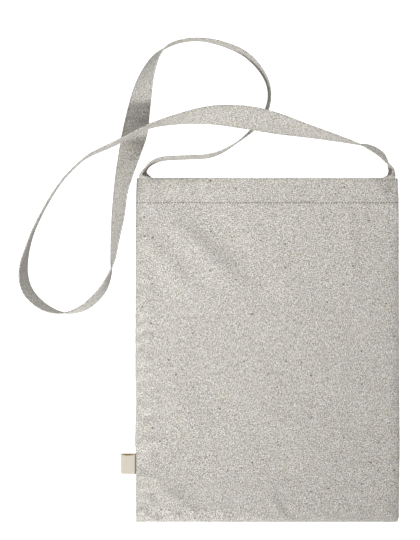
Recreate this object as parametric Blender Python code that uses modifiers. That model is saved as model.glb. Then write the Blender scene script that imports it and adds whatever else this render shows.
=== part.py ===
"""Cotton shopper bag with one long shoulder strap, lying on its back with the strap looped above its mouth.

Metres, +Z up from the surface it lies on, +Y towards the mouth, +X to the right seen from above.
The origin is on that surface, under the middle of the pouch.
"""
import math
from collections import namedtuple

import bmesh
import bpy
from mathutils import Vector

# Pouch
BAG_WIDTH = 0.330
BAG_HEIGHT = 0.432
CLOTH = 0.001
HEM_DEPTH = 0.032
MOUTH_GAPE = 0.0015
SEAM_HEIGHT = 0.0030
SEAM_STAND = 0.0009
FRONT_SHOULDER = 0.016
BACK_SHOULDER = 0.007
CORNER_SHOULDER = 0.0045
SHOULDER_RUN = 0.055

# Strap
STRAP_WIDTH = 0.032
STRAP_THICKNESS = 0.002
STRAP_SEWN_IN = 0.030
STRAP_INSET = 0.0043
STRAP_TURN = 0.030
STRAP_EXIT = 0.001
STRAP_CLEAR = 0.0001

# Label in the left seam
LABEL_OUT = 0.0192
LABEL_HEIGHT = 0.026
LABEL_UP = 0.073
LABEL_THICKNESS = 0.001
LABEL_LOFT = 0.004

# Gaps between touching layers and pieces
PLY_GAP = 0.0003
LEG_GAP = 0.0009
FIT_GAP = 0.0003
SEAM_GAP = 0.0003

# The pack of layers at a mouth corner: hem, strap leg, strap leg, hem
HEM_PACK = 2 * CLOTH + PLY_GAP
STRAP_PACK = 2 * STRAP_THICKNESS + LEG_GAP
MOUTH_HEIGHT = 2 * (HEM_PACK + FIT_GAP) + STRAP_PACK
PACK_MIDDLE = MOUTH_HEIGHT / 2
HEM_TURN = (CLOTH + PLY_GAP) / 2

# Mid-surface of a panel, from the bottom seam to where the hem turns in
PANEL_WIDTH = BAG_WIDTH - CLOTH
PANEL_BOTTOM = -BAG_HEIGHT / 2 + CLOTH / 2
PANEL_TOP = BAG_HEIGHT / 2 - CLOTH / 2 - HEM_TURN
PANEL_HEIGHT = PANEL_TOP - PANEL_BOTTOM

# Length of the bend between the strap's two halves where it lies flat, as a share of its width, and height
# between its legs where it is folded shut, as a share of the bend's length over its four facets
FLAT_FOLD = 0.6
SHUT_FOLD_RISE = (math.sin(math.radians(22.5)) + math.sin(math.radians(67.5))) / 2

# Facets
ROUND_STOPS = 4
EDGE_STOPS = ROUND_STOPS + 1
HEM_TURN_STOPS = 4
HEM_STOPS = 3
STRAP_STEP = 0.0115
LABEL_TURN_STOPS = 6
LABEL_SIDE_SHARES = (0.0, 0.25, 0.5, 0.75)
LABEL_ROWS = 2
SLOPE_NUDGE = 0.01
MERGE = 0.000001

# Colours
COTTON = (0.52, 0.50, 0.46)
STRAP_COTTON = (0.50, 0.48, 0.44)
LABEL_RIBBON = (0.70, 0.66, 0.55)
COTTON_ROUGHNESS = 0.9
RIBBON_ROUGHNESS = 0.8

Panel = namedtuple("Panel", "name front columns rows shoulder")
PANELS = (
    Panel("front_panel", front=True, columns=16, rows=17, shoulder=FRONT_SHOULDER),
    Panel("back_panel", front=False, columns=8, rows=17, shoulder=BACK_SHOULDER),
)

# Soft folds of the front: place, half length and half width as shares of the pouch's width (across, spread)
# and height (up, run), heading in degrees from +X, rise as a share of the mouth's height
Fold = namedtuple("Fold", "across up run spread heading rise")
FOLDS = (
    Fold(0.27, 0.76, 0.16, 0.050, -61, 0.070),
    Fold(0.38, 0.79, 0.16, 0.050, -61, -0.060),
    Fold(0.82, 0.78, 0.12, 0.035, -88, 0.045),
    Fold(0.53, 0.06, 0.04, 0.020, -51, 0.050),
    Fold(0.10, 0.95, 0.06, 0.035, 90, -0.040),
    Fold(0.24, 0.95, 0.06, 0.035, 90, -0.030),
    Fold(0.45, 0.95, 0.07, 0.050, 90, 0.050),
    Fold(0.15, 0.42, 0.20, 0.090, 80, 0.060),
    Fold(0.80, 0.20, 0.20, 0.160, 60, -0.060),
)

# Pulls and bulges of the side seams: side is -1 left or 1 right, up and reach are shares of the pouch's
# height, inset is a share of its width
Pull = namedtuple("Pull", "side up reach inset")
PULLS = (
    Pull(-1, 1.00, 0.05, 0.0036),
    Pull(1, 1.00, 0.05, 0.0036),
    Pull(-1, 0.50, 0.32, -0.0028),
    Pull(1, 0.40, 0.38, -0.0018),
    Pull(-1, 0.35, 0.03, 0.0026),
    Pull(-1, 0.24, 0.03, -0.0028),
    Pull(-1, 0.17, 0.03, 0.0026),
    Pull(1, 0.22, 0.11, -0.0026),
    Pull(1, 0.00, 0.02, 0.0044),
)

# The strap's middle line from the left mouth corner to the right one. Across is a share of the pouch's width
# from its left side and above a share of its height over the mouth. The leans are the slopes in degrees of the
# back and the front half of the band, 0 flat, 90 on edge. Lift is the lowest edge's height as a share of the
# strap's width.
Stop = namedtuple("Stop", "across above back_lean front_lean lift")
STRAP_ROUTE = (
    Stop(0.0185, 0.012, 10, 150, 0.08),
    Stop(0.026, 0.020, 30, 120, 0.06),
    Stop(0.037, 0.029, 52, 104, 0.04),
    Stop(0.050, 0.0385, 68, 94, 0.02),
    Stop(0.070, 0.048, 79, 87, 0.00),
    Stop(0.100, 0.055, 84, 84, 0.00),
    Stop(0.180, 0.059, 84, 84, 0.00),
    Stop(0.272, 0.063, 84, 84, 0.00),
    Stop(0.320, 0.074, 86, 86, 0.00),
    Stop(0.398, 0.110, 92, 92, 0.00),
    Stop(0.455, 0.149, 97, 97, 0.00),
    Stop(0.492, 0.188, 97, 97, 0.00),
    Stop(0.507, 0.228, 95, 95, 0.00),
    Stop(0.503, 0.270, 95, 95, 0.00),
    Stop(0.481, 0.307, 96, 96, 0.00),
    Stop(0.442, 0.343, 98, 98, 0.00),
    Stop(0.398, 0.368, 98, 98, 0.00),
    Stop(0.307, 0.394, 96, 96, 0.00),
    Stop(0.230, 0.402, 93, 93, 0.00),
    Stop(0.162, 0.395, 93, 93, 0.00),
    Stop(0.116, 0.380, 90, 90, 0.00),
    Stop(0.078, 0.353, 76, 76, 0.00),
    Stop(0.040, 0.294, 55, 55, 0.00),
    Stop(0.021, 0.238, 36, 36, 0.00),
    Stop(0.009, 0.189, 24, 24, 0.00),
    Stop(-0.004, 0.133, 9, 9, 0.00),
    Stop(-0.022, 0.080, 27, 27, 0.00),
    Stop(-0.055, -0.026, 54, 54, 0.00),
    Stop(-0.068, -0.110, 60, 60, 0.00),
    Stop(-0.080, -0.182, 71, 71, 0.00),
    Stop(-0.088, -0.240, 81, 81, 0.00),
    Stop(-0.095, -0.270, 92, 92, 0.00),
    Stop(-0.121, -0.318, 104, 104, 0.00),
    Stop(-0.156, -0.351, 106, 106, 0.00),
    Stop(-0.202, -0.378, 102, 102, 0.00),
    Stop(-0.272, -0.392, 90, 90, 0.00),
    Stop(-0.350, -0.374, 75, 75, 0.00),
    Stop(-0.411, -0.328, 69, 69, 0.00),
    Stop(-0.428, -0.275, 72, 72, 0.00),
    Stop(-0.408, -0.193, 82, 82, 0.00),
    Stop(-0.366, -0.115, 84, 84, 0.00),
    Stop(-0.281, -0.009, 88, 88, 0.00),
    Stop(-0.205, 0.050, 90, 90, 0.00),
    Stop(-0.173, 0.067, 87, 87, 0.01),
    Stop(-0.090, 0.096, 84, 84, 0.08),
    Stop(-0.021, 0.123, 84, 84, 0.23),
    Stop(0.048, 0.148, 83, 83, 0.38),
    Stop(0.170, 0.171, 67, 67, 0.51),
    Stop(0.291, 0.181, 44, 44, 0.76),
    Stop(0.417, 0.174, 25, 25, 1.05),
    Stop(0.512, 0.160, 31, 31, 1.05),
    Stop(0.646, 0.136, 60, 60, 0.61),
    Stop(0.779, 0.112, 80, 80, 0.16),
    Stop(0.842, 0.099, 90, 90, 0.02),
    Stop(0.878, 0.092, 99, 99, 0.00),
    Stop(0.908, 0.081, 104, 104, 0.00),
    Stop(0.934, 0.067, 104, 104, 0.00),
    Stop(0.957, 0.044, 93, 97, 0.01),
    Stop(0.969, 0.034, 74, 102, 0.03),
    Stop(0.979, 0.023, 44, 118, 0.05),
    Stop(0.984, 0.012, 12, 152, 0.08),
)


def mix(start, end, share):
    return start + (end - start) * share


def smooth_share(value, low, high):
    """0 below low and 1 above high, with an S-shaped rise between them."""
    share = min(max((value - low) / (high - low), 0.0), 1.0)
    return share * share * (3 - 2 * share)


def edge_stop(stop, rounding):
    """Distance from a seam, share of the full height and share of the seam's stand, at a stop near the seam.

    The first stop stands up from the seam and the next ROUND_STOPS follow a quarter ellipse."""
    if stop < 1:
        return 0.0, 0.0, stop
    angle = math.pi / 2 * (stop - 1) / ROUND_STOPS
    return rounding * (1 - math.cos(angle)), math.sin(angle), 1.0


def column_stop(panel, column, rounding):
    """The same from the left seam for a column, which may lie between two whole ones. Both sides are seams."""
    last = last_column(panel)
    if column > last / 2:
        distance, rise, stand = column_stop(panel, last - column, rounding)
        return PANEL_WIDTH - distance, rise, stand
    if column < EDGE_STOPS:
        return edge_stop(column, rounding)
    flat_share = (column - EDGE_STOPS) / panel.columns
    return rounding + (PANEL_WIDTH - 2 * rounding) * flat_share, 1.0, 1.0


def row_stop(panel, row):
    """The same from the bottom seam for a row. The last HEM_STOPS rows are those of the hem."""
    if row < EDGE_STOPS:
        return edge_stop(row, panel.shoulder)
    hem_start = PANEL_HEIGHT - HEM_DEPTH
    body_share = (row - EDGE_STOPS) / panel.rows
    if body_share <= 1:
        return mix(panel.shoulder, hem_start, body_share), 1.0, 1.0
    return hem_start + HEM_DEPTH * (row - EDGE_STOPS - panel.rows) / HEM_STOPS, 1.0, 1.0


def last_column(panel):
    return panel.columns + 2 * EDGE_STOPS


def last_row(panel):
    return panel.rows + EDGE_STOPS + HEM_STOPS


def seam_inset(side, up):
    """How far a side seam is pulled inwards at a height over the bottom."""
    inset = 0.0
    for pull in PULLS:
        if pull.side == side:
            inset += pull.inset * BAG_WIDTH * math.exp(-((up / BAG_HEIGHT - pull.up) / pull.reach) ** 2)
    return inset


def fold_rise(across, up):
    """Height that the soft folds add to the front at a place measured from its lower left corner."""
    rise = 0.0
    for fold in FOLDS:
        heading = math.radians(fold.heading)
        from_x = across - fold.across * BAG_WIDTH
        from_y = up - fold.up * BAG_HEIGHT
        along = from_x * math.cos(heading) + from_y * math.sin(heading)
        beside = from_y * math.cos(heading) - from_x * math.sin(heading)
        length_share = along / (fold.run * BAG_HEIGHT)
        width_share = beside / (fold.spread * BAG_WIDTH)
        rise += fold.rise * MOUTH_HEIGHT * math.exp(-length_share ** 2 - width_share ** 2)
    return rise


def crown_height(panel, across, up):
    """Height of a panel's mid-surface away from its seams."""
    if not panel.front:
        return CLOTH / 2
    middle_share = 2 * across / PANEL_WIDTH - 1
    gape = MOUTH_GAPE * (1 - middle_share ** 2)
    return MOUTH_HEIGHT - CLOTH / 2 + gape + fold_rise(across, up) * (1 - middle_share ** 4)


def panel_point(panel, column, row):
    """A point of a panel's mid-surface. The columns run from left to right and the rows from bottom to mouth."""
    up, rise_up, stand_up = row_stop(panel, row)
    corner_depth = max(HEM_DEPTH, STRAP_SEWN_IN) + CORNER_SHOULDER
    below_corner = smooth_share(PANEL_HEIGHT - up, corner_depth, corner_depth + SHOULDER_RUN)
    shoulder = mix(CORNER_SHOULDER, panel.shoulder, below_corner)
    across, rise_across, stand_across = column_stop(panel, column, shoulder)
    facing = 1 if panel.front else -1
    edge = mix(PACK_MIDDLE, SEAM_HEIGHT, below_corner) + facing * SEAM_GAP / 2
    edge += facing * SEAM_STAND * min(stand_up, stand_across)
    right_share = across / PANEL_WIDTH
    left_pull = seam_inset(-1, up) * (1 - right_share)
    right_pull = seam_inset(1, up) * right_share
    x = across - PANEL_WIDTH / 2 + left_pull - right_pull
    z = mix(edge, crown_height(panel, across, up), rise_across * rise_up)
    return Vector((x, PANEL_BOTTOM + up, z))


def panel_frame(panel, column, row):
    """A point of a panel, its direction towards the mouth and its direction into the pouch."""
    left = panel_point(panel, max(column - SLOPE_NUDGE, 0), row)
    right = panel_point(panel, min(column + SLOPE_NUDGE, last_column(panel)), row)
    below = panel_point(panel, column, max(row - SLOPE_NUDGE, 0))
    above = panel_point(panel, column, min(row + SLOPE_NUDGE, last_row(panel)))
    towards_mouth = (above - below).normalized()
    inwards = (above - below).cross(right - left).normalized()
    if not panel.front:
        inwards.negate()
    return panel_point(panel, column, row), towards_mouth, inwards


def hem_point(panel, column, step):
    """A point of the hem past the mouth: first round its turn, then down the inner layer."""
    if step <= HEM_TURN_STOPS:
        angle = math.pi * step / HEM_TURN_STOPS
        point, towards_mouth, inwards = panel_frame(panel, column, last_row(panel))
        turned = HEM_TURN * (1 - math.cos(angle))
        return point + inwards * turned + towards_mouth * HEM_TURN * math.sin(angle)
    point, towards_mouth, inwards = panel_frame(panel, column, last_row(panel) + HEM_TURN_STOPS - step)
    return point + inwards * 2 * HEM_TURN


def cloth_material(name, colour, roughness):
    material = bpy.data.materials.new(name)
    material.use_nodes = True
    shader = material.node_tree.nodes["Principled BSDF"]
    shader.inputs["Base Color"].default_value = (*colour, 1)
    shader.inputs["Roughness"].default_value = roughness
    shader.inputs["Metallic"].default_value = 0
    material.diffuse_color = (*colour, 1)
    return material


def cloth_sheet(name, columns, rows, place, thickness, material, collection):
    """A cloth piece: a grid whose vertices go where place(column, row) says, given its thickness by Solidify."""
    mesh = bpy.data.meshes.new(name)
    grid = bmesh.new()
    bmesh.ops.create_grid(grid, x_segments=columns, y_segments=rows, size=0.5)
    for vertex in grid.verts:
        column = round((vertex.co.x + 0.5) * columns)
        row = round((vertex.co.y + 0.5) * rows)
        vertex.co = place(column, row)
    bmesh.ops.remove_doubles(grid, verts=grid.verts, dist=MERGE)
    grid.to_mesh(mesh)
    grid.free()
    mesh.materials.append(material)
    piece = bpy.data.objects.new(name, mesh)
    collection.objects.link(piece)
    solidify = piece.modifiers.new("cloth thickness", "SOLIDIFY")
    solidify.thickness = thickness
    solidify.offset = 0
    solidify.use_even_offset = True
    mesh.shade_smooth()
    return piece


def make_panel(panel, material, collection):
    body_rows = last_row(panel)

    def place(column, row):
        if row <= body_rows:
            return panel_point(panel, column, row)
        return hem_point(panel, column, row - body_rows)

    rows = body_rows + HEM_TURN_STOPS + HEM_STOPS
    return cloth_sheet(panel.name, last_column(panel), rows, place, CLOTH, material, collection)


def strap_stops():
    """The whole route as (x, y, back lean, front lean, lift), with the folded ends inside the mouth corners."""
    corner_lift = HEM_PACK + FIT_GAP
    mouth = BAG_HEIGHT / 2
    left = -BAG_WIDTH / 2 + STRAP_INSET + STRAP_THICKNESS / 2
    depths = (STRAP_SEWN_IN, STRAP_SEWN_IN / 2, -STRAP_EXIT)
    stops = [(left, mouth - depth, 0, 180, corner_lift) for depth in depths]
    for stop in STRAP_ROUTE:
        x = (stop.across - 0.5) * BAG_WIDTH
        y = mouth + stop.above * BAG_HEIGHT
        stops.append((x, y, stop.back_lean, stop.front_lean, stop.lift * STRAP_WIDTH))
    stops += [(-left, mouth - depth, 0, 180, corner_lift) for depth in reversed(depths)]
    return stops


def smooth_route(stops, step):
    """Points through the stops, at most a step apart. The place follows a centripetal Catmull-Rom curve, and so do
    the leans and the lift, which stay between those of the two stops around them."""
    first = [2 * near - far for near, far in zip(stops[0], stops[1])]
    last = [2 * near - far for near, far in zip(stops[-1], stops[-2])]
    padded = [first, *stops, last]
    route = []
    for index in range(len(stops) - 1):
        four = padded[index:index + 4]
        knots = [0.0]
        for start, end in zip(four, four[1:]):
            knots.append(knots[-1] + math.sqrt(math.dist(start[:2], end[:2])))
        pieces = max(2, math.ceil(math.dist(four[1][:2], four[2][:2]) / step))
        for piece in range(pieces):
            values = curve_values(four, knots, mix(knots[1], knots[2], piece / pieces))
            held = [min(max(value, min(low, high)), max(low, high))
                    for value, low, high in zip(values[2:], four[1][2:], four[2][2:])]
            route.append(values[:2] + held)
    route.append(list(stops[-1]))
    return route


def curve_values(four, knots, place):
    """Catmull-Rom values between the middle two of four stops, at a place between their knots."""
    layer = [list(stop) for stop in four]
    for lows, highs in (((0, 1, 2), (1, 2, 3)), ((0, 1), (2, 3)), ((1,), (2,))):
        narrowed = []
        for index, (low, high) in enumerate(zip(lows, highs)):
            share = (place - knots[low]) / (knots[high] - knots[low])
            narrowed.append([mix(start, end, share) for start, end in zip(layer[index], layer[index + 1])])
        layer = narrowed
    return layer[0]


def strap_section(back_lean, front_lean):
    """The strap's section from its back edge to its front edge, as (outwards, up) from its middle line, with the
    lowest point of the band under it. Between the two halves it bends over a short fold."""
    middle = (back_lean + front_lean) / 2
    opening = (front_lean - back_lean) / 2
    shut_fold = (STRAP_THICKNESS + LEG_GAP) / SHUT_FOLD_RISE
    fold_length = mix(FLAT_FOLD * STRAP_WIDTH, shut_fold, abs(opening) / 90)
    leg = (STRAP_WIDTH - fold_length) / 2
    runs = ((fold_length / 4, 0.25), (fold_length / 4, 0.75), (leg, 1.0))
    halves = []
    lowest = 0.0
    for side in (-1, 1):
        out, up = 0.0, 0.0
        half = []
        for length, share in runs:
            lean = math.radians(middle + side * opening * share)
            out += side * length * math.cos(lean)
            up += side * length * math.sin(lean)
            half.append((out, up))
            lowest = min(lowest, up - STRAP_THICKNESS / 2 * abs(math.cos(lean)))
        halves.append(half)
    back, front = halves
    return back[::-1] + [(0.0, 0.0)] + front, lowest


def strap_outwards(route, index):
    """Level direction across the strap, to the left of its route. It stays along the mouth close to the mouth."""
    before = route[max(index - 1, 0)]
    after = route[min(index + 1, len(route) - 1)]
    forward = Vector((after[0] - before[0], after[1] - before[1], 0)).normalized()
    steps_to_end = min(index, len(route) - 1 - index)
    if steps_to_end < len(route) / 4:
        leaving = 1 if index < len(route) / 2 else -1
        turned = smooth_share(route[index][1] - BAG_HEIGHT / 2, 0, STRAP_TURN)
        forward = Vector((0, leaving, 0)).lerp(forward, turned).normalized()
    return Vector((-forward.y, forward.x, 0))


def make_strap(material, collection):
    route = smooth_route(strap_stops(), STRAP_STEP)
    sections = []
    for index, (x, y, back_lean, front_lean, lift) in enumerate(route):
        outwards = strap_outwards(route, index)
        points, lowest = strap_section(back_lean, front_lean)
        height = max(lift, STRAP_CLEAR) - lowest
        sections.append([Vector((x, y, height + up)) + outwards * out for out, up in points])

    def place(column, row):
        return sections[row][column]

    columns = len(sections[0]) - 1
    rows = len(sections) - 1
    return cloth_sheet("strap", columns, rows, place, STRAP_THICKNESS, material, collection)


def label_profile():
    """The label's loop as (x, z), from its upper end at the seam round the outer fold to its lower end."""
    pulls = [seam_inset(-1, LABEL_UP + part * LABEL_HEIGHT / 2) for part in (-1, 0, 1)]
    seam_x = -BAG_WIDTH / 2 + min(pulls) - FIT_GAP
    turn = (LABEL_LOFT - LABEL_THICKNESS) / 2
    fold_x = seam_x - LABEL_OUT + LABEL_THICKNESS / 2 + turn
    end_gap = (LABEL_THICKNESS + PLY_GAP) / 2
    top = LABEL_LOFT - LABEL_THICKNESS / 2
    floor = LABEL_THICKNESS / 2
    profile = []
    for share in LABEL_SIDE_SHARES:
        ease = smooth_share(share, 0.0, 0.8)
        profile.append((mix(seam_x, fold_x, share), mix(SEAM_HEIGHT + end_gap, top, ease)))
    for step in range(LABEL_TURN_STOPS + 1):
        angle = math.pi * step / LABEL_TURN_STOPS
        profile.append((fold_x - turn * math.sin(angle), LABEL_LOFT / 2 + turn * math.cos(angle)))
    for share in reversed(LABEL_SIDE_SHARES):
        ease = smooth_share(share, 0.0, 0.8)
        profile.append((mix(seam_x, fold_x, share), mix(SEAM_HEIGHT - end_gap, floor, ease)))
    return profile


def make_label(material, collection):
    profile = label_profile()
    middle = -BAG_HEIGHT / 2 + LABEL_UP

    def place(column, row):
        x, z = profile[column]
        return Vector((x, middle + (row / LABEL_ROWS - 0.5) * LABEL_HEIGHT, z))

    columns = len(profile) - 1
    return cloth_sheet("side_label", columns, LABEL_ROWS, place, LABEL_THICKNESS, material, collection)


def main():
    for thing in list(bpy.data.objects):
        bpy.data.objects.remove(thing, do_unlink=True)
    collection = bpy.data.collections.new("shopper bag")
    bpy.context.scene.collection.children.link(collection)
    for panel in PANELS:
        make_panel(panel, cloth_material(panel.name, COTTON, COTTON_ROUGHNESS), collection)
    make_strap(cloth_material("strap", STRAP_COTTON, COTTON_ROUGHNESS), collection)
    make_label(cloth_material("side_label", LABEL_RIBBON, RIBBON_ROUGHNESS), collection)


main()
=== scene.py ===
"""Cotton shopper bag lying on its back on a pale table, its long strap looped above the mouth."""
import math
from collections import namedtuple

import bmesh
import bpy
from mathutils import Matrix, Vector, noise


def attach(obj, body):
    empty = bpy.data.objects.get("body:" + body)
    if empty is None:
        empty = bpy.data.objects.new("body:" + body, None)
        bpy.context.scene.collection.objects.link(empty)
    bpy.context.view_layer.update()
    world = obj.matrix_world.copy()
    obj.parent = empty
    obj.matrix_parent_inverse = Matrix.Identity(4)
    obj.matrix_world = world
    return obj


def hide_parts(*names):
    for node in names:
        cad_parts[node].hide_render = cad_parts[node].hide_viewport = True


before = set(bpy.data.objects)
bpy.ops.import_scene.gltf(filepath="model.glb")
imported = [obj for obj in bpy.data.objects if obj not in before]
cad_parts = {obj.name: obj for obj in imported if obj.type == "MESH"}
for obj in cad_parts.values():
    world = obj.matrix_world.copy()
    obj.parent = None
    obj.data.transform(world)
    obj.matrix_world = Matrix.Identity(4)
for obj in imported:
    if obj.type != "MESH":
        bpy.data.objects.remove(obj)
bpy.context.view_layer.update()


# The front of the pouch is one piece of heathered grey-beige cotton, spun from recycled yarn with light and
# dark flecks. It is sewn to the back along its sides and bottom, and the doubled hem at its mouth is turned
# inwards.
BAG_WIDTH = 0.330
BAG_HEIGHT = 0.432
COTTON = 0.001
LAYER_GAP = 0.0003
HEM_DEPTH = 0.032
SEAM_HEIGHT = 0.0030
SEAM_STAND = 0.0009
FRONT_CROWN = 0.0096
FRONT_SHOULDER = 0.016
CORNER_SHOULDER = 0.0085
BOTTOM_RIGHT_SHOULDER = 0.007
BOTTOM_FLATTENS = (0.20, 0.65)
SHOULDER_RUN = 0.055
MOUTH_MIDDLE = 0.00505
MOUTH_GAPE = 0.0015
HEM_STEP = 0.0004
HEM_STEP_BELOW = 0.0015
HEM_STEP_ABOVE = 0.0025
HEM_DRAWN_IN = 0.0003
HEM_DRAWN_ABOVE = 0.0005
HEM_DRAWN_WIDTH = 0.0013
HEM_TURN_STEPS = 8
HEM_TURN = (COTTON + LAYER_GAP) / 2
PANEL_WIDTH = BAG_WIDTH - COTTON
PANEL_BOTTOM = -BAG_HEIGHT / 2 + COTTON / 2
PANEL_TOP = BAG_HEIGHT / 2 - COTTON / 2 - HEM_TURN
PANEL_HEIGHT = PANEL_TOP - PANEL_BOTTOM

# Unevenness of the cloth and its seams: size in metres, waves in a metre across and up, and where the pattern
# starts. Crinkles die away from the seams, and are strongest low down at the left.
Wave = namedtuple("Wave", "size across up start")
WANDER = Wave(0.0013, 28, 28, 1.7)
SEAM_CRINKLE = Wave(0.0080, 60, 85, 4.2)
SIDE_PUCKER = Wave(0.00035, 40 / PANEL_WIDTH, 95, 3.1)
BOTTOM_PUCKER = Wave(0.0002, 90, 0, 8.3)
CRINKLE_REACH = 0.016
LEFT_CRINKLE = 1.15
RIGHT_CRINKLE = 0.35
BOTTOM_CRINKLE = 0.6

# Side seams are pulled in at the mouth's corners and are a little lumpy below: place up the side and reach as
# shares of the height, inset as a share of the width.
Pull = namedtuple("Pull", "side up reach inset")
SIDE_PULLS = (
    Pull(-1, 1.00, 0.05, 0.0036),
    Pull(1, 1.00, 0.05, 0.0036),
    Pull(-1, 0.50, 0.32, -0.0028),
    Pull(1, 0.40, 0.38, -0.0018),
    Pull(-1, 0.35, 0.03, 0.0026),
    Pull(-1, 0.24, 0.03, -0.0028),
    Pull(-1, 0.17, 0.03, 0.0026),
    Pull(1, 0.22, 0.11, -0.0026),
    Pull(1, 0.00, 0.02, 0.0044),
)

# Soft folds of the front: place and half width as shares of the pouch's width, place and half length as
# shares of its height, heading in degrees from the width, rise in metres.
Fold = namedtuple("Fold", "across up run spread heading rise")
SOFT_FOLDS = (
    Fold(0.25, 0.79, 0.13, 0.048, -46, 0.0042),
    Fold(0.37, 0.79, 0.16, 0.060, -56, -0.0030),
    Fold(0.12, 0.75, 0.10, 0.040, -46, 0.0034),
    Fold(0.04, 0.55, 0.55, 0.030, 90, 0.0020),
    Fold(0.82, 0.78, 0.12, 0.026, -88, 0.0018),
    Fold(0.53, 0.06, 0.04, 0.016, -51, 0.0022),
    Fold(0.58, 0.05, 0.04, 0.018, -51, -0.0018),
    Fold(0.045, 1.00, 0.07, 0.034, 90, 0.0038),
    Fold(0.955, 1.00, 0.07, 0.034, 90, 0.0030),
    Fold(0.11, 0.96, 0.06, 0.030, 88, -0.0016),
    Fold(0.24, 0.95, 0.06, 0.030, 94, -0.0016),
    Fold(0.45, 0.95, 0.07, 0.045, 90, 0.0018),
    Fold(0.66, 0.97, 0.05, 0.030, 86, -0.0010),
    Fold(0.985, 0.975, 0.015, 0.012, -45, -0.0008),
    Fold(0.975, 0.945, 0.012, 0.010, -60, -0.0007),
    Fold(0.15, 0.42, 0.20, 0.070, 80, 0.0026),
    Fold(0.32, 0.30, 0.16, 0.060, 65, -0.0020),
    Fold(0.11, 0.09, 0.09, 0.050, -48, 0.0040),
    Fold(0.80, 0.20, 0.20, 0.120, 60, -0.0022),
)


def mix(start, end, share):
    return start + (end - start) * share


def smooth_share(value, low, high):
    share = min(max((value - low) / (high - low), 0.0), 1.0)
    return share * share * (3 - 2 * share)


def waved(wave, across, up):
    return wave.size * noise.noise(Vector((across * wave.across, up * wave.up, wave.start)))


def side_inset(side, up):
    inset = 0.0
    for pull in SIDE_PULLS:
        if pull.side == side:
            inset += pull.inset * BAG_WIDTH * math.exp(-((up / BAG_HEIGHT - pull.up) / pull.reach) ** 2)
    return inset


def fold_rise(across, up):
    rise = 0.0
    for fold in SOFT_FOLDS:
        heading = math.radians(fold.heading)
        from_x = across - fold.across * BAG_WIDTH
        from_y = up - fold.up * BAG_HEIGHT
        along = from_x * math.cos(heading) + from_y * math.sin(heading)
        beside = from_y * math.cos(heading) - from_x * math.sin(heading)
        rise += fold.rise * math.exp(
            -(along / (fold.run * BAG_HEIGHT)) ** 2 - (beside / (fold.spread * BAG_WIDTH)) ** 2)
    return rise


def front_crown(across, up):
    """Full height of the front before its edges turn down, with its folds, the crinkles near its seams and
    the hem's step, which the stitches draw in."""
    middle_share = 2 * across / PANEL_WIDTH - 1
    inside = 1 - middle_share ** 4
    height = FRONT_CROWN + MOUTH_GAPE * (1 - middle_share ** 2)
    height += fold_rise(across, up) * (1 - middle_share ** 16)
    height += waved(WANDER, across, up) * inside
    near_bottom = BOTTOM_CRINKLE * math.exp(-up / CRINKLE_REACH)
    near_left = (LEFT_CRINKLE - up / BAG_HEIGHT) * math.exp(-across / CRINKLE_REACH)
    near_right = RIGHT_CRINKLE * math.exp(-(PANEL_WIDTH - across) / CRINKLE_REACH)
    height += waved(SEAM_CRINKLE, across, up) * (near_bottom + near_left + near_right)
    from_mouth = PANEL_HEIGHT - up
    hem_share = smooth_share(from_mouth, HEM_DEPTH + HEM_STEP_BELOW, HEM_DEPTH - HEM_STEP_ABOVE)
    height += HEM_STEP * hem_share * inside
    height -= HEM_DRAWN_IN * math.exp(-((from_mouth - HEM_DEPTH + HEM_DRAWN_ABOVE) / HEM_DRAWN_WIDTH) ** 2)
    return height


def front_bottom(across):
    """Width of the rounded bottom edge, which gets flatter towards the right."""
    return mix(FRONT_SHOULDER, BOTTOM_RIGHT_SHOULDER, smooth_share(across / PANEL_WIDTH, *BOTTOM_FLATTENS))


Panel = namedtuple("Panel", "name crown facing shoulder bottom columns rows edge_steps")


def edge_places(steps_in, shoulder):
    """Distances from a seam with their shares of the full height and of the seam's stand."""
    steps = [(0.0, 0.0, 0.0)]
    for step in range(steps_in + 1):
        angle = math.pi / 2 * step / steps_in
        steps.append((shoulder * (1 - math.cos(angle)), math.sin(angle), 1.0))
    return steps


def panel_grid(panel):
    """Points of a panel's middle surface, row by row from the bottom seam up, and how far up the rows are."""
    corner_depth = HEM_DEPTH + CORNER_SHOULDER
    rows_up = edge_places(panel.edge_steps, panel.shoulder)
    body = PANEL_HEIGHT - panel.shoulder
    rows_up += [(panel.shoulder + body * row / panel.rows, 1.0, 1.0) for row in range(1, panel.rows + 1)]
    grid = []
    for up, rise_up, stand_up in rows_up:
        below_corner = smooth_share(PANEL_HEIGHT - up, corner_depth, corner_depth + SHOULDER_RUN)
        shoulder = mix(CORNER_SHOULDER, panel.shoulder, below_corner)
        left = edge_places(panel.edge_steps, shoulder)
        middle = [(mix(shoulder, PANEL_WIDTH - shoulder, column / panel.columns), 1.0, 1.0)
                  for column in range(1, panel.columns)]
        right = [(PANEL_WIDTH - distance, rise, stand) for distance, rise, stand in reversed(left)]
        row = []
        for across, rise_across, stand_across in left + middle + right:
            edge = mix(MOUTH_MIDDLE, SEAM_HEIGHT, below_corner)
            edge += panel.facing * (LAYER_GAP / 2 + SEAM_STAND * min(stand_up, stand_across))
            share = across / PANEL_WIDTH
            depth = SIDE_PUCKER.start + across * SIDE_PUCKER.across
            pucker = SIDE_PUCKER.size * noise.noise(Vector((0, up * SIDE_PUCKER.up, depth)))
            x = across - PANEL_WIDTH / 2
            x += (side_inset(-1, up) + pucker) * (1 - share) - (side_inset(1, up) + pucker) * share
            narrowed = 1 - panel.bottom(across) / panel.shoulder
            let_out = panel.shoulder * smooth_share(up, panel.shoulder, SHOULDER_RUN)
            narrowed *= min(up, panel.shoulder) - let_out
            y = PANEL_BOTTOM + up - narrowed
            y += waved(BOTTOM_PUCKER, across, up) * (1 - up / PANEL_HEIGHT)
            z = mix(edge, panel.crown(across, up), rise_across * rise_up)
            row.append(Vector((x, y, z)))
        grid.append(row)
    return grid, [up for up, _, _ in rows_up]


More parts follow.
